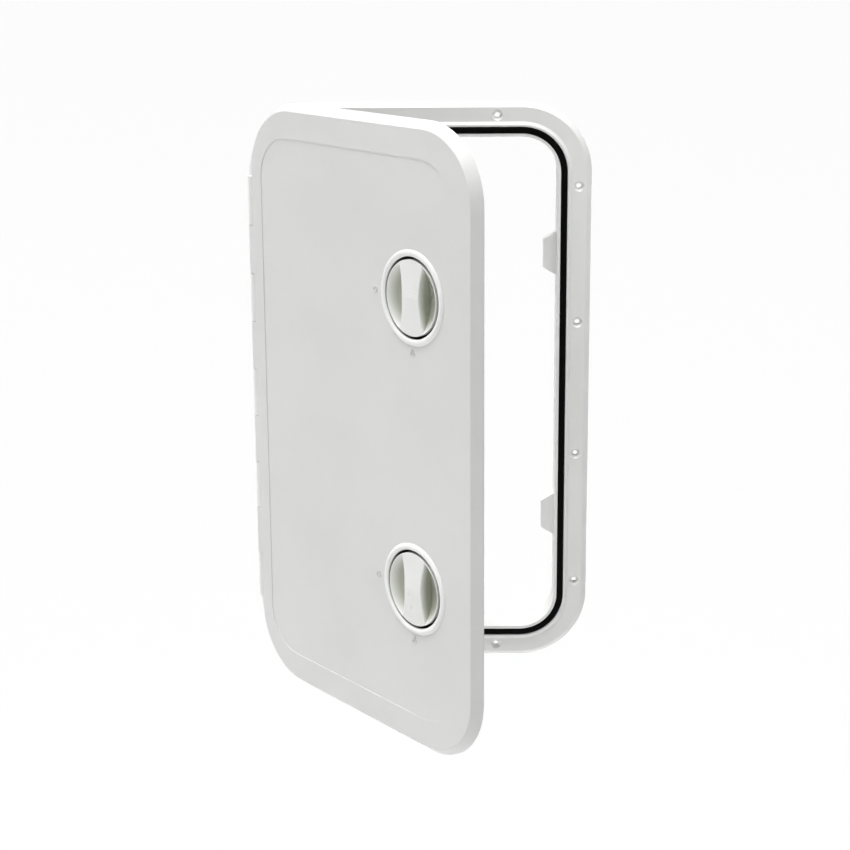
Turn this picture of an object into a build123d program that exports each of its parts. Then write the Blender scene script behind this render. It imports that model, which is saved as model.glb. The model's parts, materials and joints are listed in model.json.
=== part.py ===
# Deck hatch: a moulded frame with a rubber seal, and a lid on a piano hinge with two quarter-turn latches.
#
# X runs across the hatch from the hinge to the free side, Z runs along it, and -Y points out of the deck.
# The origin is the centre of the opening on the plane where the frame's flange meets the deck.
# Depths are heights above that plane, so a negative one lies inside the boat.
import os
from math import atan2, cos, degrees, radians, sin

from build123d import *

os.makedirs("parts", exist_ok=True)

# Frame
frame_width = 347.0
frame_height = 594.0
frame_corner_radius = 71.0
flange_height = 8.0
flange_edge_height = 2.5
flange_bevel_width = 5.0
ridge_slope_width = 3.0
ridge_top_width = 2.3
ridge_rise = 2.0
seal_inset = 24.8
seal_width = 6.7
seal_proud = 0.6
seal_edge_radius = 1.6
seal_clearance = 0.1
channel_floor_height = 4.0
lip_thickness = 3.0
collar_depth = 22.0
opening_edge_radius = 1.0
flange_edge_radius = 1.2
ridge_edge_radius = 0.5

# Ribs and pockets on the back of the flange
pocket_depth = 4.5
pocket_wall = 3.5
pocket_inner_inset = 21.5
screw_boss_radius = 7.5
flange_rib = 2.2

# Screw holes, four along each side and two at each end
screw_inset = 13.1
screw_past_corner_side = 14.35
screw_past_corner_end = 24.9
screw_hole_radius = 2.75
countersink_radius = 5.6
countersink_angle = 90.0

# Keeper tabs, where the latch cams hold the lid down
keeper_projection = 13.5
keeper_root_height = 45.7
keeper_tip_height = 29.5
keeper_front_depth = 3.5
keeper_thickness = 10.0
keeper_corner_radius = 2.5

# Hinge
lid_open_angle = 49.7
hinge_inset = 4.0
hinge_rise = 4.0
hinge_past_corner = 1.0
knuckle_radius = 4.8
knuckle_count = 9
knuckle_gap = 0.6
knuckle_clearance = 0.5
knuckle_web = 4.3
hinge_pin_radius = 1.5
hinge_pin_clearance = 0.05
plug_radius = 3.0
plug_depth = 2.0
plug_chamfer = 0.4

# Lid
lid_overhang_side = 5.0
lid_overhang_end = 6.0
lid_edge_offset = 0.5
lid_corner_extra = 1.0
lid_front = 6.6
lid_skirt_gap = 0.6
lid_edge_thickness = 1.0
lid_skin = 3.4
lid_rim_inset = 7.5
lid_edge_fillet = 1.2
lid_hinge_gap = 0.8
seal_rib_width = 3.0
seal_rib_gap = 0.4
lid_rib_width = 2.2
lid_rib_bottom = 0.2
lid_rib_latch_gap = 22.0
lid_rib_columns = 2
panel_recess = 0.6

# Latches
latch_past_corner = 85.3
bezel_overlap = 3.4
bezel_height = 2.0
bezel_inner_height = 0.7
bezel_crown_overlap = 0.5
cup_radius = 41.4
cup_clearance = 0.2
cup_wall = 3.0
cup_floor_top = -11.5
cup_floor = 2.4
boss_radius = 12.0
boss_bottom = -18.0
gasket_thickness = 0.8
gasket_width = 1.6
gasket_inset = 0.6
nut_overlap = 5.6
nut_wall_gap = 2.0
nut_clearance = 0.1
nut_thickness = 4.0
nut_notch_count = 8
nut_notch_radius = 2.5

# Knob
knob_gap = 2.8
knob_top = 7.4
knob_skirt = 3.6
knob_rim_round = 0.3
knob_skin = 2.5
scoop_rim = 0.9
scoop_bottom = -7.0
grip_end_half_width = 17.0
grip_waist_half_width = 12.0
grip_top = 8.8
grip_fall = 1.5
grip_fillet = 1.1
shaft_radius = 7.0
shaft_clearance = 0.3
shaft_seal_radius = 1.1
shaft_seal_height = -14.8
shaft_seal_gap = 0.3
shaft_seal_clearance = 0.05

# Cam and its fastening
cam_end_gap = 5.5
cam_width = 18.0
cam_hub_radius = 11.0
cam_thickness = 4.0
cam_keeper_gap = 0.5
cam_square = 9.0
cam_square_clearance = 0.05
cam_ramp = 1.2
thrust_washer_radius = 11.0
thrust_washer_thickness = 1.2
thrust_washer_gap = 0.3
clip_radius = 9.5
clip_thickness = 1.2
clip_groove_depth = 1.0
cam_washer_radius = 7.0
cam_washer_thickness = 1.2
cam_screw_radius = 2.5
cam_screw_head_radius = 4.75
cam_screw_head_height = 2.8
cam_screw_head_fillet = 0.9
cam_screw_length = 12.0
screw_clearance = 0.05
cross_recess_width = 1.4
cross_recess_length = 5.0
cross_recess_depth = 1.6

# Heights worked out from the sizes above
ridge_height = flange_height + ridge_rise
seal_height = ridge_height + seal_proud
hinge_height = flange_height + hinge_rise
lid_skirt_bottom = flange_height + lid_skirt_gap - hinge_height
lid_rim_drop = lid_front - lid_skirt_bottom - lid_edge_thickness
lid_underside = lid_front - lid_skin
lid_panel = lid_front - panel_recess
seal_rib_bottom = seal_height + seal_rib_gap - hinge_height
bezel_top = lid_panel + bezel_height
knob_bottom = scoop_bottom - knob_skin
cam_front = -keeper_front_depth - keeper_thickness - cam_keeper_gap - hinge_height
cam_back = cam_front - cam_thickness
cam_washer_back = cam_back - cam_washer_thickness
thrust_washer_back = boss_bottom - thrust_washer_gap - thrust_washer_thickness

# Widths and places worked out from the sizes above
flange_width = seal_inset - ridge_top_width - ridge_slope_width
lip_inset = seal_inset + seal_width
seal_middle_inset = seal_inset + seal_width / 2
opening_inset = lip_inset + lip_thickness
opening_half_width = frame_width / 2 - opening_inset
side_length = frame_height - 2 * frame_corner_radius
end_length = frame_width - 2 * frame_corner_radius
screw_pitch_side = (side_length - 2 * screw_past_corner_side) / 3
screw_pitch_end = end_length - 2 * screw_past_corner_end
hinge_x = -frame_width / 2 + hinge_inset
hinge_length = side_length - 2 * hinge_past_corner
knuckle_pitch = hinge_length / knuckle_count
knuckle_height = knuckle_pitch - knuckle_gap
trough_radius = knuckle_radius + knuckle_clearance
lid_width = frame_width - hinge_inset + lid_overhang_side - lid_edge_offset
lid_height = frame_height + 2 * lid_overhang_end
lid_corner_radius = frame_corner_radius + lid_corner_extra
lid_hinge_relief = knuckle_radius + lid_hinge_gap
cup_inner_radius = cup_radius - cup_wall
bezel_radius = cup_radius + bezel_overlap
nut_radius = cup_radius + nut_overlap
latch_spacing = side_length - 2 * latch_past_corner
latch_inset = nut_radius + nut_wall_gap
latch_from_hinge = opening_half_width - latch_inset - hinge_x
knob_radius = cup_inner_radius - knob_gap
cam_length = latch_inset - cam_end_gap
shaft_seal_middle = shaft_radius + shaft_clearance - shaft_seal_gap - shaft_seal_radius
screw_places_side = [(0.5 * frame_width - screw_inset, k * screw_pitch_side) for k in (-1.5, -0.5, 0.5, 1.5)]
screw_places_end = [(0.5 * screw_pitch_end, 0.5 * frame_height - screw_inset)]

# The lid's stiffeners: rows in the middle and on both sides of each latch,
# and columns evenly spaced between the seal rib and the latches
lid_rib_reach = nut_radius + lid_rib_latch_gap
lid_rib_rows = [0] + [way * latch_spacing / 2 + side * lid_rib_reach for way in (-1, 1) for side in (-1, 1)]
lid_rib_first = seal_middle_inset - hinge_inset
lid_rib_step = (latch_from_hinge - nut_radius - lid_rib_first) / (lid_rib_columns + 1)
lid_rib_places = [lid_rib_first + k * lid_rib_step for k in range(1, lid_rib_columns + 1)]


def both_ways(places, across=True, along=True):
    """The places and their mirror images across X, along Z or both."""
    signs_x = (-1, 1) if across else (1,)
    signs_z = (-1, 1) if along else (1,)
    return [(x * sx, z * sz) for x, z in places for sx in signs_x for sz in signs_z]


screw_places = both_ways(screw_places_side, along=False) + both_ways(screw_places_end)

# The lid turns about the hinge: x runs from the hinge to the free edge, y is +Z, z is out of its face
fold = radians(lid_open_angle)
lid_plane = Plane(
    origin=(hinge_x, -hinge_height, 0),
    x_dir=(cos(fold), -sin(fold), 0),
    z_dir=(-sin(fold), -cos(fold), 0),
)


def hinge_plane(z):
    """The lid's cross-section at height z: x from the hinge to the free edge, y into the boat."""
    return Plane(origin=(hinge_x, -hinge_height, z), x_dir=(cos(fold), -sin(fold), 0), z_dir=(0, 0, 1))


def frame_outline(inset, mode=Mode.ADD):
    """The frame's rounded outline, a distance in from its outer edge."""
    width = frame_width - 2 * inset
    height = frame_height - 2 * inset
    RectangleRounded(width, height, frame_corner_radius - inset, mode=mode)


def frame_band(outer_inset, inner_inset):
    """A band that follows the frame's outline, between two insets."""
    frame_outline(outer_inset)
    frame_outline(inner_inset, mode=Mode.SUBTRACT)


def lid_outline(inset, mode=Mode.ADD):
    """The lid's rounded outline, a distance in from its outer edge."""
    with Locations((lid_edge_offset + lid_width / 2, 0)):
        RectangleRounded(lid_width - 2 * inset, lid_height - 2 * inset, lid_corner_radius - inset, mode=mode)


def lid_seal_band(width):
    """A band on the lid that lies over the middle of the frame's seal."""
    with Locations((-hinge_x, 0)):
        frame_band(seal_middle_inset - width / 2, seal_middle_inset + width / 2)


def hinge_circle(radius):
    """A circle about the hinge's axis, on a horizontal plane."""
    with Locations((hinge_x, -hinge_height)):
        Circle(radius)


def knuckle_base(index):
    """The height at which a knuckle starts."""
    return -hinge_length / 2 + index * knuckle_pitch + knuckle_gap / 2


def save(part, name):
    """Label a finished piece and write its STEP file."""
    part.label = name
    export_step(part, f"parts/{name}.step")


# The frame: flange, ridge, seal channel and collar in one moulding
with BuildPart() as frame:
    with BuildSketch(Plane.XZ):
        frame_outline(0)
    extrude(amount=flange_height)
    front = frame.faces().sort_by(Axis.Y)[0]
    bevel_drop = flange_height - flange_edge_height
    chamfer(front.edges(), length=flange_bevel_width, length2=bevel_drop, reference=front)
    fillet(frame.faces().sort_by(Axis.Y)[0].edges(), radius=flange_edge_radius)
    with BuildSketch(Plane.XZ.offset(flange_height)):
        frame_outline(flange_width)
    rise = ridge_height - flange_height
    extrude(amount=rise, taper=degrees(atan2(ridge_slope_width, rise)))
    fillet(frame.faces().sort_by(Axis.Y)[0].edges(), radius=ridge_edge_radius)
    with BuildSketch(Plane.XZ):
        frame_outline(lip_inset)
    extrude(amount=-collar_depth)

    # Pockets on the back, between the rim, the screw bosses and the ribs
    with BuildSketch(Plane.XZ):
        frame_band(pocket_wall, pocket_inner_inset)
        with Locations(*screw_places):
            Circle(screw_boss_radius, mode=Mode.SUBTRACT)
        with GridLocations(0, screw_pitch_side / 2, 1, 7):
            Rectangle(frame_width, flange_rib, mode=Mode.SUBTRACT)
        with GridLocations(screw_pitch_end / 2, 0, 3, 1):
            Rectangle(flange_rib, frame_height, mode=Mode.SUBTRACT)
    extrude(amount=pocket_depth, mode=Mode.SUBTRACT)

    # The seal's channel, and the opening right through
    with BuildSketch(Plane.XZ.offset(channel_floor_height)):
        frame_band(seal_inset, lip_inset)
    extrude(amount=ridge_height, mode=Mode.SUBTRACT)
    with BuildSketch(Plane.XZ.offset(-collar_depth)):
        frame_outline(opening_inset)
    extrude(amount=collar_depth + ridge_height, mode=Mode.SUBTRACT)
    lip_top = frame.faces().filter_by(Plane.XZ).sort_by(Axis.Y)[:2].sort_by(SortBy.AREA)[0]
    fillet(lip_top.inner_wires()[0].edges(), radius=opening_edge_radius)

    # Keeper tabs on the free side's inner wall, in line with the latches
    keeper_root_x = opening_half_width + lip_thickness / 2
    keeper_tip_x = opening_half_width - keeper_projection
    for side in (-1, 1):
        with BuildSketch(Plane.XZ.offset(-keeper_front_depth)):
            with BuildLine():
                Polyline(
                    (keeper_root_x, side * latch_spacing / 2 - keeper_root_height / 2),
                    (opening_half_width, side * latch_spacing / 2 - keeper_root_height / 2),
                    (keeper_tip_x, side * latch_spacing / 2 - keeper_tip_height / 2),
                    (keeper_tip_x, side * latch_spacing / 2 + keeper_tip_height / 2),
                    (opening_half_width, side * latch_spacing / 2 + keeper_root_height / 2),
                    (keeper_root_x, side * latch_spacing / 2 + keeper_root_height / 2),
                    close=True,
                )
            make_face()
            fillet(vertices().group_by(Axis.X)[0], radius=keeper_corner_radius)
        extrude(amount=-keeper_thickness)

    # Countersunk screw holes
    with Locations(*[Plane.XZ.offset(flange_height) * Location((x, z)) for x, z in screw_places]):
        CounterSinkHole(screw_hole_radius, countersink_radius, counter_sink_angle=countersink_angle)

    # Hinge: a trough for the barrels, then every other knuckle on its web
    with BuildSketch(Plane.XY.offset(-hinge_length / 2)):
        hinge_circle(trough_radius)
    extrude(amount=hinge_length, mode=Mode.SUBTRACT)
    for index in range(0, knuckle_count, 2):
        with BuildSketch(Plane.XY.offset(knuckle_base(index))):
            hinge_circle(knuckle_radius)
            with Locations((hinge_x, -hinge_height)):
                web_depth = hinge_height - pocket_depth
                Rectangle(knuckle_web, web_depth, align=(Align.CENTER, Align.MIN))
        extrude(amount=knuckle_height)
    with BuildSketch(Plane.XY.offset(-hinge_length / 2)):
        hinge_circle(hinge_pin_radius + hinge_pin_clearance)
    extrude(amount=hinge_length, mode=Mode.SUBTRACT)
    for base in (knuckle_base(0), knuckle_base(knuckle_count - 1) + knuckle_height - plug_depth):
        with BuildSketch(Plane.XY.offset(base)):
            hinge_circle(plug_radius)
        extrude(amount=plug_depth, mode=Mode.SUBTRACT)
save(frame.part, "frame")


# The seal: a rubber band in the channel, with a rounded top
with BuildPart() as frame_seal:
    with BuildSketch(Plane.XZ.offset(channel_floor_height)):
        frame_band(seal_inset + seal_clearance, lip_inset - seal_clearance)
    extrude(amount=seal_height - channel_floor_height)
    seal_top = frame_seal.faces().sort_by(Axis.Y)[0]
    fillet(seal_top.edges(), radius=seal_edge_radius)
save(frame_seal.part, "frame_seal")


# The hinge pin, between the two end plugs
pin_bottom = knuckle_base(0) + plug_depth
pin_top = knuckle_base(knuckle_count - 1) + knuckle_height - plug_depth
with BuildPart() as hinge_pin:
    with BuildSketch(Plane.XY.offset(pin_bottom)):
        hinge_circle(hinge_pin_radius)
    extrude(amount=pin_top - pin_bottom)
save(hinge_pin.part, "hinge_pin")

for name, base, outwards in (("hinge_plug_lower", pin_bottom, -1), ("hinge_plug_upper", pin_top, 1)):
    with BuildPart() as plug:
        with BuildSketch(Plane.XY.offset(base)):
            hinge_circle(plug_radius)
        extrude(amount=outwards * plug_depth)
        outer_edges = plug.edges().group_by(Axis.Z)[-1 if outwards > 0 else 0]
        chamfer(outer_edges, length=plug_chamfer)
    save(plug.part, name)


# The lid: a skin with a bevelled rim, a rib that presses on the seal and a lattice of stiffeners
with BuildPart() as lid:
    with BuildSketch(lid_plane.offset(lid_skirt_bottom)):
        lid_outline(0)
    extrude(amount=lid_front - lid_skirt_bottom)
    lid_axis = Axis((0, 0, 0), tuple(lid_plane.z_dir))
    face = lid.faces().filter_by(lid_axis).sort_by(lid_axis)[-1]
    chamfer(face.edges(), length=lid_rim_inset, length2=lid_rim_drop, reference=face)
    face = lid.faces().filter_by(lid_axis).sort_by(lid_axis)[-1]
    fillet(face.edges(), radius=lid_edge_fillet)
    with BuildSketch(lid_plane.offset(lid_skirt_bottom)):
        lid_outline(lid_rim_inset)
    extrude(amount=lid_underside - lid_skirt_bottom, mode=Mode.SUBTRACT)

    # The rib over the seal, and the stiffeners inside it
    with BuildSketch(lid_plane.offset(lid_underside)):
        lid_seal_band(seal_rib_width)
    extrude(amount=seal_rib_bottom - lid_underside)
    with BuildSketch(lid_plane.offset(lid_underside)):
        with Locations((-hinge_x, 0)):
            frame_outline(seal_middle_inset)
        with BuildSketch(lid_plane.offset(lid_underside), mode=Mode.PRIVATE) as lattice:
            with Locations(*[(-hinge_x, z) for z in lid_rib_rows]):
                Rectangle(frame_width, lid_rib_width)
            with Locations(*[(u, 0) for u in lid_rib_places]):
                Rectangle(lid_rib_width, frame_height)
        add(lattice.sketch_local, mode=Mode.INTERSECT)
    extrude(amount=lid_rib_bottom - lid_underside)

    # The slightly sunken panel inside the rim, and the holes for the latches
    with BuildSketch(lid_plane.offset(lid_front)):
        with Locations((-hinge_x, 0)):
            frame_outline(seal_middle_inset)
    extrude(amount=-panel_recess, mode=Mode.SUBTRACT)
    with BuildSketch(lid_plane.offset(lid_front)):
        with Locations((latch_from_hinge, -latch_spacing / 2), (latch_from_hinge, latch_spacing / 2)):
            Circle(cup_radius + cup_clearance)
    extrude(amount=-lid_front + lid_skirt_bottom, mode=Mode.SUBTRACT)

    # The edge cut back along the hinge, then the lid's knuckles on their webs
    with BuildSketch(hinge_plane(-hinge_length / 2 - knuckle_gap / 2)):
        Rectangle(2 * lid_hinge_relief, 2 * hinge_height)
    extrude(amount=hinge_length + knuckle_gap, mode=Mode.SUBTRACT)
    for index in range(1, knuckle_count, 2):
        with BuildSketch(hinge_plane(knuckle_base(index))):
            Circle(knuckle_radius)
            Rectangle(lid_hinge_relief + lid_skin, knuckle_radius, align=(Align.MIN, Align.MAX))
        extrude(amount=knuckle_height)
    with BuildSketch(hinge_plane(-hinge_length / 2)):
        Circle(hinge_pin_radius + hinge_pin_clearance)
    extrude(amount=hinge_length, mode=Mode.SUBTRACT)
save(lid.part, "lid")


def latch_plane(height, side):
    """A plane square to a latch's axis, at a height above the hinge's axis."""
    centre = lid_plane.from_local_coords((latch_from_hinge, side * latch_spacing / 2, height))
    return Plane(origin=centre, x_dir=lid_plane.x_dir, z_dir=lid_plane.z_dir)


def latch_section(side):
    """A plane through a latch's axis: x is the distance from it, y the height above the hinge's axis."""
    return Plane(origin=latch_plane(0, side).origin, x_dir=lid_plane.x_dir, z_dir=(0, 0, -1))


def latch_axis(side):
    """A latch's own axis."""
    return Axis(latch_plane(0, side).origin, lid_plane.z_dir)


def disc(side, radius, bottom, top, mode=Mode.ADD):
    """A disc on a latch's axis, between two heights."""
    with BuildSketch(latch_plane(bottom, side)) as profile:
        Circle(radius)
    extrude(profile.sketch, amount=top - bottom, mode=mode)


def make_bezel(side):
    """The fixed cup and rim that the knob turns in."""
    with BuildPart() as bezel:
        with BuildSketch(latch_section(side)):
            with BuildLine():
                Polyline(
                    (bezel_radius, lid_panel),
                    (cup_radius, lid_panel),
                    (cup_radius, cup_floor_top - cup_floor),
                    (boss_radius, cup_floor_top - cup_floor),
                    (boss_radius, boss_bottom),
                    (shaft_radius + shaft_clearance, boss_bottom),
                    (shaft_radius + shaft_clearance, cup_floor_top),
                    (cup_inner_radius, cup_floor_top),
                    (cup_inner_radius, lid_panel + bezel_inner_height),
                )
                inner_edge = (cup_inner_radius, lid_panel + bezel_inner_height)
                crown = (cup_radius + bezel_crown_overlap, bezel_top)
                ThreePointArc(inner_edge, crown, (bezel_radius, lid_panel))
            make_face()
        revolve(axis=latch_axis(side))
        with BuildSketch(latch_plane(lid_panel, side)):
            Circle(cup_radius + gasket_inset + gasket_width)
            Circle(cup_radius + gasket_inset, mode=Mode.SUBTRACT)
        extrude(amount=gasket_thickness, mode=Mode.SUBTRACT)
    return bezel.part


def make_gasket(side):
    """The thin rubber ring under the bezel's rim."""
    with BuildPart() as gasket:
        disc(side, cup_radius + gasket_inset + gasket_width, lid_panel, lid_panel + gasket_thickness)
        disc(side, cup_radius + gasket_inset, lid_panel, lid_panel + gasket_thickness, mode=Mode.SUBTRACT)
    return gasket.part


def make_nut(side):
    """The notched ring that clamps the bezel from inside the lid."""
    with BuildPart() as nut:
        with BuildSketch(latch_plane(lid_underside, side)):
            Circle(nut_radius)
            Circle(cup_radius + nut_clearance, mode=Mode.SUBTRACT)
            with PolarLocations(nut_radius, nut_notch_count):
                Circle(nut_notch_radius, mode=Mode.SUBTRACT)
        extrude(amount=-nut_thickness)
    return nut.part


def make_knob(side):
    """The turning dish with its grip bar, and the shaft down to the cam."""
    scoop_radius = knob_radius - scoop_rim
    wide = grip_end_half_width
    waist = grip_waist_half_width
    end_z = (knob_radius**2 - wide**2) ** 0.5
    with BuildPart() as knob:
        # The grip bar: round at both ends, narrow in the middle, and falling a little towards its ends
        with BuildSketch(latch_plane(knob_bottom, side)) as grip_outline:
            with BuildLine():
                ThreePointArc((wide, end_z), (waist, 0), (wide, -end_z))
                ThreePointArc((wide, -end_z), (0, -knob_radius), (-wide, -end_z))
                ThreePointArc((-wide, -end_z), (-waist, 0), (-wide, end_z))
                ThreePointArc((-wide, end_z), (0, knob_radius), (wide, end_z))
            make_face()
        extrude(amount=grip_top - knob_bottom)
        top = latch_plane(grip_top, side)
        for way in (-1, 1):
            slope = top.z_dir + Vector(0, 0, way * grip_fall / knob_radius)
            split(bisect_by=Plane(origin=top.origin, x_dir=top.x_dir, z_dir=slope), keep=Keep.BOTTOM)
        grip_faces = knob.faces().sort_by(lid_axis)[-2:]
        fillet(grip_faces.edges().filter_by(GeomType.LINE, reverse=True), radius=grip_fillet)

        # The dish: a bowl with a thin rounded rim and an even skin
        rim_edge = knob_top - knob_rim_round
        with BuildSketch(latch_section(side)):
            with BuildLine():
                TangentArc((0, scoop_bottom), (scoop_radius, rim_edge), tangent=(1, 0))
                rim_crown = (knob_radius - scoop_rim / 2, knob_top)
                ThreePointArc((scoop_radius, rim_edge), rim_crown, (knob_radius, rim_edge))
                Line((knob_radius, rim_edge), (knob_radius, knob_skirt))
                TangentArc((0, knob_bottom), (knob_radius, knob_skirt), tangent=(1, 0))
                Line((0, knob_bottom), (0, scoop_bottom))
            make_face()
        revolve(axis=latch_axis(side))

        # The bar is hollow behind, with the shaft standing in the hollow
        hollow_top = grip_top - grip_fall - knob_skin
        with BuildSketch(latch_plane(knob_bottom, side)):
            add(grip_outline.sketch_local)
            offset(amount=-knob_skin)
        extrude(amount=hollow_top - knob_bottom, mode=Mode.SUBTRACT)
        disc(side, shaft_radius, cam_front, hollow_top)
        with BuildSketch(latch_plane(cam_back, side)):
            Rectangle(cam_square, cam_square)
        extrude(amount=cam_front - cam_back)

        # Grooves for the O-ring and the clip, and the hole for the cam's screw
        seal_room = shaft_seal_radius + shaft_seal_clearance
        with BuildSketch(latch_plane(shaft_seal_height - seal_room, side)):
            Circle(shaft_radius)
            Circle(shaft_seal_middle - seal_room, mode=Mode.SUBTRACT)
        extrude(amount=2 * seal_room, mode=Mode.SUBTRACT)
        with BuildSketch(latch_plane(thrust_washer_back - clip_thickness, side)):
            Circle(shaft_radius)
            Circle(shaft_radius - clip_groove_depth, mode=Mode.SUBTRACT)
        extrude(amount=clip_thickness, mode=Mode.SUBTRACT)
        screw_top = cam_washer_back + cam_screw_length
        disc(side, cam_screw_radius + screw_clearance, cam_back, screw_top, mode=Mode.SUBTRACT)
    return knob.part


def make_shaft_seal(side):
    """The O-ring that keeps water out of the shaft's bore."""
    with BuildPart() as shaft_seal:
        with Locations(latch_plane(shaft_seal_height, side)):
            Torus(shaft_seal_middle, shaft_seal_radius)
    return shaft_seal.part


def make_washer(side, outer_radius, inner_radius, back, thickness):
    """A flat washer on a latch's axis."""
    with BuildPart() as washer:
        disc(side, outer_radius, back, back + thickness)
        disc(side, inner_radius, back, back + thickness, mode=Mode.SUBTRACT)
    return washer.part


def make_clip(side):
    """The open spring clip that holds the shaft in its bore."""
    with BuildPart() as clip:
        with BuildSketch(latch_plane(thrust_washer_back - clip_thickness, side)):
            Circle(clip_radius)
            Circle(shaft_radius - clip_groove_depth + screw_clearance, mode=Mode.SUBTRACT)
            Rectangle(clip_radius, shaft_radius, align=(Align.MIN, Align.CENTER), mode=Mode.SUBTRACT)
        extrude(amount=clip_thickness)
    return clip.part


def make_cam(side):
    """The arm that swings behind a keeper tab; open, it points along the hinge."""
    with BuildPart() as cam:
        with BuildSketch(latch_plane(cam_back, side)):
            Circle(cam_hub_radius)
            arm_length = cam_length - cam_width / 2
            Rectangle(cam_width, arm_length, align=(Align.CENTER, Align.MAX))
            with Locations((0, -arm_length)):
                Circle(cam_width / 2)
            square_hole = cam_square + 2 * cam_square_clearance
            Rectangle(square_hole, square_hole, mode=Mode.SUBTRACT)
        extrude(amount=cam_thickness)
        tip_edges = cam.faces().sort_by(lid_axis)[-1].outer_wire().edges()
        chamfer(tip_edges, length=cam_ramp)
    return cam.part


def make_cam_screw(side):
    """The cross-recess screw that holds the cam on its square."""
    with BuildPart() as screw:
        disc(side, cam_screw_head_radius, cam_washer_back - cam_screw_head_height, cam_washer_back)
        fillet(screw.edges().sort_by(lid_axis)[0], radius=cam_screw_head_fillet)
        disc(side, cam_screw_radius, cam_washer_back, cam_washer_back + cam_screw_length)
        with BuildSketch(latch_plane(cam_washer_back - cam_screw_head_height, side)):
            Rectangle(cross_recess_length, cross_recess_width)
            Rectangle(cross_recess_width, cross_recess_length)
        extrude(amount=cross_recess_depth, mode=Mode.SUBTRACT)
    return screw.part


for place, side in (("lower", -1), ("upper", 1)):
    save(make_bezel(side), f"bezel_{place}")
    save(make_gasket(side), f"bezel_gasket_{place}")
    save(make_nut(side), f"bezel_nut_{place}")
    save(make_knob(side), f"knob_{place}")
    save(make_shaft_seal(side), f"shaft_seal_{place}")
    thrust_washer_hole = shaft_radius + shaft_clearance
    thrust_washer = make_washer(
        side, thrust_washer_radius, thrust_washer_hole, thrust_washer_back, thrust_washer_thickness
    )
    save(thrust_washer, f"thrust_washer_{place}")
    save(make_clip(side), f"shaft_clip_{place}")
    save(make_cam(side), f"cam_{place}")
    cam_washer_hole = cam_screw_radius + screw_clearance
    cam_washer = make_washer(side, cam_washer_radius, cam_washer_hole, cam_washer_back, cam_washer_thickness)
    save(cam_washer, f"cam_washer_{place}")
    save(make_cam_screw(side), f"cam_screw_{place}")
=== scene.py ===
import json
import math

import bmesh
import bpy
from mathutils import Matrix, Vector


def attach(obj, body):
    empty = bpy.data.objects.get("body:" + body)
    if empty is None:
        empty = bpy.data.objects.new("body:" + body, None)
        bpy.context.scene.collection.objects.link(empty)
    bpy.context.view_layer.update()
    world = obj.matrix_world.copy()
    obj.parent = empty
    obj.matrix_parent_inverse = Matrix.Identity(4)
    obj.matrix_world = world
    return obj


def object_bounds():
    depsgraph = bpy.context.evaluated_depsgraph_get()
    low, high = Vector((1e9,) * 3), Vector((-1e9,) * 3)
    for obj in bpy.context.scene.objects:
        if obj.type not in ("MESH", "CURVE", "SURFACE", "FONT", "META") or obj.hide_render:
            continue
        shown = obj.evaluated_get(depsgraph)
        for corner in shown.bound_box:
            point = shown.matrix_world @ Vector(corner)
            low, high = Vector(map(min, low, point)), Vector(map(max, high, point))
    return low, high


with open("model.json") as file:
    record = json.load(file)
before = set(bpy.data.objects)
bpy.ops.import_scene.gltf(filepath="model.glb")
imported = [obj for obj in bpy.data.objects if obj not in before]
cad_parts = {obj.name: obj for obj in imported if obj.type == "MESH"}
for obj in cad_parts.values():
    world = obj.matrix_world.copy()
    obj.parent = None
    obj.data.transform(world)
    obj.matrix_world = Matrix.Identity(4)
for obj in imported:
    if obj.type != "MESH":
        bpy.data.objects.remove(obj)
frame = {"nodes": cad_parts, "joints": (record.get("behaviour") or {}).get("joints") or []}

cad_low, cad_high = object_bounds()
nodes = frame["nodes"]
MM = 0.001

joints = {joint["name"]: joint for joint in frame["joints"]}
hinge_place = Vector(joints["lid_hinge"]["pos_m"])
lid_normal = Vector(joints["latch_lower_turn"]["axis"]).normalized()

# ---------------------------------------------------------------- textures
# Noise textures: the scale is in cells to the metre.
ABS_SWIRL = {"scale": 9.0, "detail": 4.0}
ABS_POLISH = {"scale": 34.0, "detail": 5.0, "roughness": 0.6}
ABS_RIPPLE = {"scale": 22.0, "detail": 1.0}
ABS_EGGSHELL = {"scale": 1500.0, "detail": 2.0}
RUBBER_BLOOM = {"scale": 420.0, "detail": 5.0}
RUBBER_PATCHES = {"scale": 60.0, "detail": 3.0}
RUBBER_PORES = {"scale": 2600.0, "detail": 2.0}
STEEL_LINES = {"scale": 260.0, "detail": 6.0, "roughness": 0.7}
NYLON_FLOW = {"scale": 45.0, "detail": 5.0}
NYLON_SPECKLE = {"scale": 900.0, "detail": 3.0}

# The stretch of a texture's grey over which the second colour of a material comes in.
ABS_BLEND = (0.35, 0.7)
RUBBER_BLEND = (0.45, 0.8)
STEEL_BLEND = (0.3, 0.7)
NYLON_BLEND = (0.4, 0.75)

# How much smoother and rougher than its middle value a material gets.
ABS_ROUGHNESS = (-0.05, 0.07)
RUBBER_ROUGHNESS = (-0.08, 0.1)
STEEL_ROUGHNESS = (-0.08, 0.12)
NYLON_ROUGHNESS = (-0.06, 0.1)

# Bump: its strength and its depth in metres.
RIPPLE_BUMP = (0.12, 0.0006)
EGGSHELL_BUMP = (0.10, 0.00008)
PORE_BUMP = (0.25, 0.0001)
LINE_BUMP = (0.2, 0.00005)
SPECKLE_BUMP = (0.3, 0.00012)

# Reflection at the surface, where it isn't the shader's own 0.5.
ABS_SPECULAR = 0.45
RUBBER_SPECULAR = 0.06
FLOOR_SPECULAR = 0.1


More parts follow.
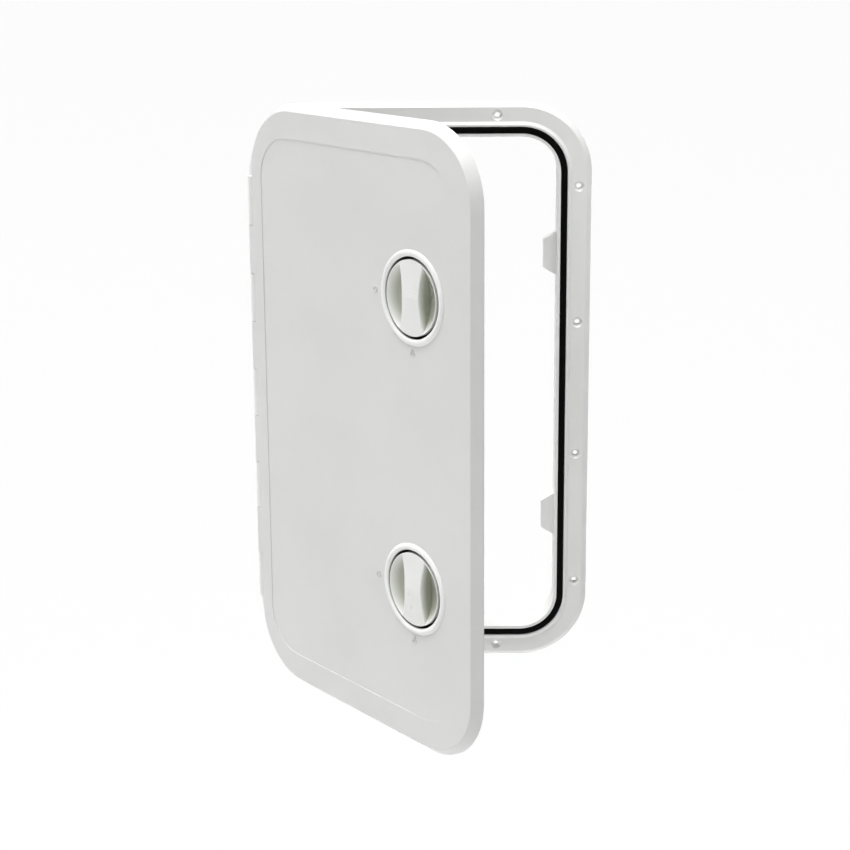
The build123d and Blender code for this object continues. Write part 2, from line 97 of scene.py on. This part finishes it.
# ---------------------------------------------------------------- materials
def new_material(name, colour, roughness):
    """A Principled material and its node tree, with its plain values set on the shader's own sockets."""
    material = bpy.data.materials.new(name)
    material.use_nodes = True
    tree = material.node_tree
    shader = tree.nodes["Principled BSDF"]
    shader.inputs["Base Color"].default_value = (*colour, 1)
    shader.inputs["Roughness"].default_value = roughness
    return material, tree, shader


def object_coordinates(tree, scale=(1, 1, 1)):
    """Coordinates in metres on the piece itself, stretched by a scale."""
    coordinates = tree.nodes.new("ShaderNodeTexCoord")
    mapping = tree.nodes.new("ShaderNodeMapping")
    mapping.inputs["Scale"].default_value = scale
    tree.links.new(coordinates.outputs["Object"], mapping.inputs["Vector"])
    return mapping.outputs["Vector"]


def noise(tree, vector, scale, detail, roughness=0.5):
    """A noise texture's grey output."""
    texture = tree.nodes.new("ShaderNodeTexNoise")
    texture.inputs["Scale"].default_value = scale
    texture.inputs["Detail"].default_value = detail
    texture.inputs["Roughness"].default_value = roughness
    tree.links.new(vector, texture.inputs["Vector"])
    return texture.outputs["Fac"]


def ramp(tree, value, low, high, start=0.0, end=1.0):
    """The value's stretch from start to end, mapped to low to high."""
    mapped = tree.nodes.new("ShaderNodeMapRange")
    mapped.inputs["From Min"].default_value = start
    mapped.inputs["From Max"].default_value = end
    mapped.inputs["To Min"].default_value = low
    mapped.inputs["To Max"].default_value = high
    tree.links.new(value, mapped.inputs["Value"])
    return mapped.outputs["Result"]


def mix_colours(tree, factor, first, second):
    """Two colours mixed by a factor. Each is three numbers or a socket."""
    mix = tree.nodes.new("ShaderNodeMix")
    mix.data_type = "RGBA"
    factor_socket, first_socket, second_socket = mix.inputs[0], mix.inputs[6], mix.inputs[7]
    for socket, colour in ((first_socket, first), (second_socket, second)):
        if isinstance(colour, tuple):
            socket.default_value = (*colour, 1)
        else:
            tree.links.new(colour, socket)
    tree.links.new(factor, factor_socket)
    return mix.outputs[2]


def two_colours(tree, grey, blend, first, second):
    """Two colours mixed where a texture's grey passes through a stretch."""
    start, end = blend
    return mix_colours(tree, ramp(tree, grey, 0.0, 1.0, start, end), first, second)


def vary_roughness(tree, shader, grey, roughness, spread):
    """Roughness that follows a texture's grey, from a little under its middle value to a little over it."""
    under, over = spread
    varied = ramp(tree, grey, roughness + under, roughness + over)
    tree.links.new(varied, shader.inputs["Roughness"])


def add_bump(tree, shader, heights):
    """Bump from a list of (height, strength, depth in metres), each laid on the one before."""
    normal = None
    for height, strength, depth in heights:
        bump = tree.nodes.new("ShaderNodeBump")
        bump.inputs["Strength"].default_value = strength
        bump.inputs["Distance"].default_value = depth
        tree.links.new(height, bump.inputs["Height"])
        if normal is not None:
            tree.links.new(normal, bump.inputs["Normal"])
        normal = bump.outputs["Normal"]
    tree.links.new(normal, shader.inputs["Normal"])


def height_in_lid(tree, vector):
    """How far a point lies out from the hinge's axis, square to the lid's face, in mm."""
    dot = tree.nodes.new("ShaderNodeVectorMath")
    dot.operation = "DOT_PRODUCT"
    dot.inputs[1].default_value = lid_normal / MM
    tree.links.new(vector, dot.inputs[0])
    offset = tree.nodes.new("ShaderNodeMath")
    offset.operation = "SUBTRACT"
    offset.inputs[1].default_value = hinge_place.dot(lid_normal) / MM
    tree.links.new(dot.outputs["Value"], offset.inputs[0])
    return offset.outputs["Value"]


def moulded_abs(name, colour, shade, roughness, grain=1.0, recess_painted_shade=None):
    """White ABS: a faint eggshell grain from the mould, slow swirls in the colour, and a soft satin gloss.

    The recess argument is painted shade that darkens a dish towards its bottom, standing in for the shade
    that falls in the hollow: its colour, the height in the lid where it is full, and the height where it
    ends.
    """
    material, tree, shader = new_material(name, colour, roughness)
    vector = object_coordinates(tree)
    paint = two_colours(tree, noise(tree, vector, **ABS_SWIRL), ABS_BLEND, colour, shade)
    if recess_painted_shade:
        painted_shade_colour, full, end = recess_painted_shade
        # Painted shade: the colour darkens with depth below the lid's face, standing in for shade in the
        # hollow.
        painted_shade_amount = ramp(tree, height_in_lid(tree, vector), 1.0, 0.0, full, end)
        paint = mix_colours(tree, painted_shade_amount, paint, painted_shade_colour)
    tree.links.new(paint, shader.inputs["Base Color"])
    vary_roughness(tree, shader, noise(tree, vector, **ABS_POLISH), roughness, ABS_ROUGHNESS)
    shader.inputs["Specular IOR Level"].default_value = ABS_SPECULAR
    eggshell = noise(tree, vector, **ABS_EGGSHELL)
    ripple = noise(tree, vector, **ABS_RIPPLE)
    strength, depth = EGGSHELL_BUMP
    add_bump(tree, shader, [(ripple, *RIPPLE_BUMP), (eggshell, strength * grain, depth)])
    return material


def rubber(name, colour, worn, roughness):
    """Black seal rubber: dull, with a fine bloom of lighter specks and small pores."""
    material, tree, shader = new_material(name, colour, roughness)
    vector = object_coordinates(tree)
    paint = two_colours(tree, noise(tree, vector, **RUBBER_BLOOM), RUBBER_BLEND, colour, worn)
    tree.links.new(paint, shader.inputs["Base Color"])
    vary_roughness(tree, shader, noise(tree, vector, **RUBBER_PATCHES), roughness, RUBBER_ROUGHNESS)
    shader.inputs["Specular IOR Level"].default_value = RUBBER_SPECULAR
    add_bump(tree, shader, [(noise(tree, vector, **RUBBER_PORES), *PORE_BUMP)])
    return material


def drawn_steel(name, colour, dark, roughness, stretch):
    """Stainless steel with fine drawing lines along one direction."""
    material, tree, shader = new_material(name, colour, roughness)
    shader.inputs["Metallic"].default_value = 1.0
    lines = noise(tree, object_coordinates(tree, stretch), **STEEL_LINES)
    tree.links.new(two_colours(tree, lines, STEEL_BLEND, dark, colour), shader.inputs["Base Color"])
    vary_roughness(tree, shader, lines, roughness, STEEL_ROUGHNESS)
    add_bump(tree, shader, [(lines, *LINE_BUMP)])
    return material


def nylon(name, colour, pale, roughness):
    """Moulded nylon: matte, with a coarse spark-eroded grain and faint flow marks."""
    material, tree, shader = new_material(name, colour, roughness)
    vector = object_coordinates(tree)
    paint = two_colours(tree, noise(tree, vector, **NYLON_FLOW), NYLON_BLEND, colour, pale)
    tree.links.new(paint, shader.inputs["Base Color"])
    speckle = noise(tree, vector, **NYLON_SPECKLE)
    vary_roughness(tree, shader, speckle, roughness, NYLON_ROUGHNESS)
    add_bump(tree, shader, [(speckle, *SPECKLE_BUMP)])
    return material


LINES_ALONG_Z = (1, 1, 0.03)
LINES_ALONG_X = (0.1, 1, 1)

# The lid, frame, knob and bezel are one white ABS. The lid's colour is a darker copy and the frame's a
# lighter copy: painted shade and painted light that stand in for how the light falls on each.
lid_abs = moulded_abs(
    "lid_abs",
    colour=(0.735, 0.735, 0.73),
    shade=(0.703, 0.704, 0.695),
    roughness=0.36,
)
frame_abs = moulded_abs(
    "frame_abs",
    colour=(0.855, 0.855, 0.845),
    shade=(0.825, 0.827, 0.812),
    roughness=0.40,
)
# The marks' colour is darker than the lid's: painted shade that stands in for the shadows round the raised
# marks.
mark_abs = moulded_abs(
    "mark_abs",
    colour=(0.60, 0.60, 0.595),
    shade=(0.56, 0.56, 0.555),
    roughness=0.4,
)
# The knob's colour is lighter than the lid's, painted light for the bright grip bar and its edges; its scoops
# get painted shade, a dark greenish colour that deepens towards the dish's bottom, standing in for the shade
# in the hollow.
knob_abs = moulded_abs(
    "knob_abs",
    colour=(0.86, 0.86, 0.85),
    shade=(0.82, 0.825, 0.80),
    roughness=0.28,
    grain=0.5,
    recess_painted_shade=((0.44, 0.46, 0.38), 1.0, 7.0),
)
# The bezel's colour is lighter than the lid's, a painted highlight for its bright ring; its cup gets painted
# shade, near black below the lid's face, standing in for the dark gap between knob and bezel.
bezel_abs = moulded_abs(
    "bezel_abs",
    colour=(0.90, 0.90, 0.885),
    shade=(0.87, 0.875, 0.85),
    roughness=0.28,
    grain=0.5,
    recess_painted_shade=((0.05, 0.052, 0.042), 3.5, 6.4),
)
seal_rubber = rubber(
    "seal_rubber",
    colour=(0.0012, 0.0012, 0.0013),
    worn=(0.005, 0.005, 0.0052),
    roughness=0.7,
)
pin_steel = drawn_steel(
    "pin_steel",
    colour=(0.68, 0.68, 0.67),
    dark=(0.45, 0.45, 0.45),
    roughness=0.28,
    stretch=LINES_ALONG_Z,
)
stamped_steel = drawn_steel(
    "stamped_steel",
    colour=(0.66, 0.66, 0.65),
    dark=(0.42, 0.42, 0.42),
    roughness=0.32,
    stretch=LINES_ALONG_X,
)
black_nylon = nylon(
    "black_nylon",
    colour=(0.020, 0.020, 0.021),
    pale=(0.035, 0.035, 0.036),
    roughness=0.52,
)
white_nylon = nylon(
    "white_nylon",
    colour=(0.74, 0.74, 0.71),
    pale=(0.66, 0.66, 0.63),
    roughness=0.45,
)

finish = {
    "frame": frame_abs,
    "frame_seal": seal_rubber,
    "lid": lid_abs,
    "hinge_pin": pin_steel,
    "hinge_plug": frame_abs,
    "bezel": bezel_abs,
    "bezel_gasket": seal_rubber,
    "bezel_nut": black_nylon,
    "knob": knob_abs,
    "shaft_seal": seal_rubber,
    "thrust_washer": white_nylon,
    "shaft_clip": stamped_steel,
    "cam": black_nylon,
    "cam_washer": stamped_steel,
    "cam_screw": stamped_steel,
}
for name, node in nodes.items():
    kind = name.removesuffix("_lower").removesuffix("_upper")
    node.data.materials.clear()
    node.data.materials.append(finish[kind])

# ---------------------------------------------------------------- marks moulded on the lid
PANEL_HEIGHT = 6.0 * MM
MARK_ROOT = 0.2 * MM
MARK_HEIGHT = 0.7 * MM
MARK_BEVEL = 0.22 * MM

RING_ACROSS = -53.6 * MM
RING_RADIUS = 3.1 * MM
RING_HOLE_RADIUS = 1.9 * MM

ARROW_ALONG = -51.5 * MM
ARROW_REACH = 4.2 * MM
ARROW_HOLE_REACH = 2.0 * MM


def on_lid(latch, across, along):
    """A matrix at a spot on the lid's panel: x to the free edge, y up, z out of the face.

    Across and along run from the latch's centre, to the free edge and up.
    """
    turn = joints[latch + "_turn"]
    out = Vector(turn["axis"]).normalized()
    up = Vector((0, 0, 1))
    right = up.cross(out).normalized()
    centre = Vector(turn["pos_m"]) + right * across + up * along + out * PANEL_HEIGHT
    matrix = Matrix((right, up, out)).transposed().to_4x4()
    matrix.translation = centre
    return matrix


def raised_mark(name, outline, hole, matrix):
    """A low relief with a bevelled top, from an outline and an inner outline of the same number of points."""
    mesh = bmesh.new()
    rings = []
    for points, shrink in ((outline, 1), (hole, -1)):
        middle = sum((Vector(p) for p in points), Vector((0, 0))) / len(points)
        for height, inset in ((-MARK_ROOT, 0.0), (MARK_HEIGHT * 0.5, 0.0), (MARK_HEIGHT, MARK_BEVEL)):
            ring = []
            for point in points:
                away = (Vector(point) - middle).normalized()
                spot = Vector(point) - away * inset * shrink
                ring.append(mesh.verts.new((spot.x, spot.y, height)))
            rings.append(ring)
    outer, inner = rings[:3], rings[3:]
    loop = outer + inner[::-1]
    count = len(outline)
    for first, second in zip(loop, loop[1:] + loop[:1]):
        for k in range(count):
            j = (k + 1) % count
            mesh.faces.new((first[k], first[j], second[j], second[k]))
    bmesh.ops.recalc_face_normals(mesh, faces=mesh.faces)
    mesh.transform(matrix)
    data = bpy.data.meshes.new(name)
    mesh.to_mesh(data)
    mesh.free()
    data.materials.append(mark_abs)
    mark = bpy.data.objects.new(name, data)
    bpy.context.scene.collection.objects.link(mark)
    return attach(mark, "lid")


def circle(radius, count=48):
    """Points round a circle."""
    turns = [2 * math.pi * k / count for k in range(count)]
    return [(radius * math.cos(turn), radius * math.sin(turn)) for turn in turns]


def triangle(reach):
    """The three corners of a triangle that points up, each at a distance from its middle."""
    corners = [math.radians(90 + 120 * k) for k in range(3)]
    return [(reach * math.cos(turn), reach * math.sin(turn)) for turn in corners]


for latch in ("latch_lower", "latch_upper"):
    beside = on_lid(latch, RING_ACROSS, 0)
    below = on_lid(latch, 0, ARROW_ALONG)
    raised_mark(latch + "_ring_mark", circle(RING_RADIUS), circle(RING_HOLE_RADIUS), beside)
    raised_mark(latch + "_arrow_mark", triangle(ARROW_REACH), triangle(ARROW_HOLE_REACH), below)

# ---------------------------------------------------------------- stage, light and camera
FLOOR_DROP = 1.2
FLOOR_REACH = 60.0
FLOOR_GREY = 0.70
FLOOR_ROUGHNESS = 0.9

# The pale band at the horizon: its top, and where it has faded out, as heights on a unit sphere.
BAND_TOP = 0.04
BAND_END = 0.12

SENSOR_WIDTH = 36.0
FOCAL_WIDTHS = 2.1045
CAMERA_SHIFT = (-0.0088, -0.1)
CAMERA_PLACE = (0.01972, -1.80522, 0.47967)
CAMERA_PAN = math.radians(-0.27)
CAMERA_TILT = math.radians(13.37)
CAMERA_ROLL = math.radians(-0.32)
CAMERA_RANGE = 200


def make_floor(height):
    """A wide pale floor."""
    mesh = bpy.data.meshes.new("floor")
    signs = ((-1, -1), (1, -1), (1, 1), (-1, 1))
    corners = [(FLOOR_REACH * x, FLOOR_REACH * y, height) for x, y in signs]
    mesh.from_pydata(corners, [], [(0, 1, 2, 3)])
    floor = bpy.data.objects.new("floor", mesh)
    bpy.context.scene.collection.objects.link(floor)
    paint, _, shader = new_material("floor_paint", (FLOOR_GREY,) * 3, FLOOR_ROUGHNESS)
    shader.inputs["Specular IOR Level"].default_value = FLOOR_SPECULAR
    mesh.materials.append(paint)


def make_world(left, right, horizon):
    """A studio surround, brighter on the left than on the right, with a pale band at the horizon."""
    world = bpy.data.worlds.new("studio")
    world.use_nodes = True
    tree = world.node_tree
    background = tree.nodes["Background"]
    background.inputs["Color"].default_value = (1, 1, 1, 1)
    coordinates = tree.nodes.new("ShaderNodeTexCoord")
    parts = tree.nodes.new("ShaderNodeSeparateXYZ")
    tree.links.new(coordinates.outputs["Generated"], parts.inputs["Vector"])
    sides = ramp(tree, parts.outputs["X"], left, right, -1.0, 1.0)
    band = ramp(tree, parts.outputs["Z"], 1.0, 0.0, BAND_TOP, BAND_END)
    strength = tree.nodes.new("ShaderNodeMix")
    factor_socket, sides_socket, horizon_socket = strength.inputs[0], strength.inputs[2], strength.inputs[3]
    tree.links.new(band, factor_socket)
    tree.links.new(sides, sides_socket)
    horizon_socket.default_value = horizon
    tree.links.new(strength.outputs[0], background.inputs["Strength"])
    bpy.context.scene.world = world


def sun_light(azimuth, elevation, spread, strength):
    """A broad sun: azimuth runs from the front towards the left."""
    data = bpy.data.lights.new("sun", "SUN")
    data.energy = strength
    data.angle = math.radians(spread)
    light = bpy.data.objects.new("sun", data)
    turn, rise = math.radians(azimuth), math.radians(elevation)
    level = math.cos(rise)
    towards = Vector((-math.sin(turn) * level, -math.cos(turn) * level, math.sin(rise)))
    light.rotation_mode = "QUATERNION"
    light.rotation_quaternion = (-towards).to_track_quat("-Z", "Y")
    bpy.context.scene.collection.objects.link(light)


def lamp(place, target, size, power):
    """A soft square lamp at a place, turned towards a target."""
    data = bpy.data.lights.new("lamp", "AREA")
    data.shape = "SQUARE"
    data.size = size
    data.energy = power
    light = bpy.data.objects.new("lamp", data)
    light.location = place
    light.rotation_mode = "QUATERNION"
    light.rotation_quaternion = (Vector(target) - Vector(place)).to_track_quat("-Z", "Y")
    bpy.context.scene.collection.objects.link(light)


def make_camera():
    """The camera in front of the hatch, a little above it and looking down."""
    data = bpy.data.cameras.new("camera")
    data.sensor_width = SENSOR_WIDTH
    data.lens = FOCAL_WIDTHS * SENSOR_WIDTH
    data.shift_x, data.shift_y = CAMERA_SHIFT
    data.clip_end = CAMERA_RANGE
    camera = bpy.data.objects.new("camera", data)
    camera.location = CAMERA_PLACE
    level = math.cos(CAMERA_TILT)
    forward = Vector((math.sin(CAMERA_PAN) * level, math.cos(CAMERA_PAN) * level, -math.sin(CAMERA_TILT)))
    aim = forward.to_track_quat("-Z", "Y")
    camera.rotation_mode = "QUATERNION"
    camera.rotation_quaternion = aim @ Matrix.Rotation(CAMERA_ROLL, 3, "Z").to_quaternion()
    bpy.context.scene.collection.objects.link(camera)
    bpy.context.scene.camera = camera


make_floor(cad_low.z - FLOOR_DROP)
make_world(left=0.35, right=0.0, horizon=1.02)
sun_light(azimuth=85, elevation=77, spread=40, strength=4.0)
lamp(place=(0.25, -0.28, 0.95), target=(0.12, 0, 0.25), size=0.3, power=2.6)
make_camera()
bpy.context.scene.view_settings.view_transform = "Standard"
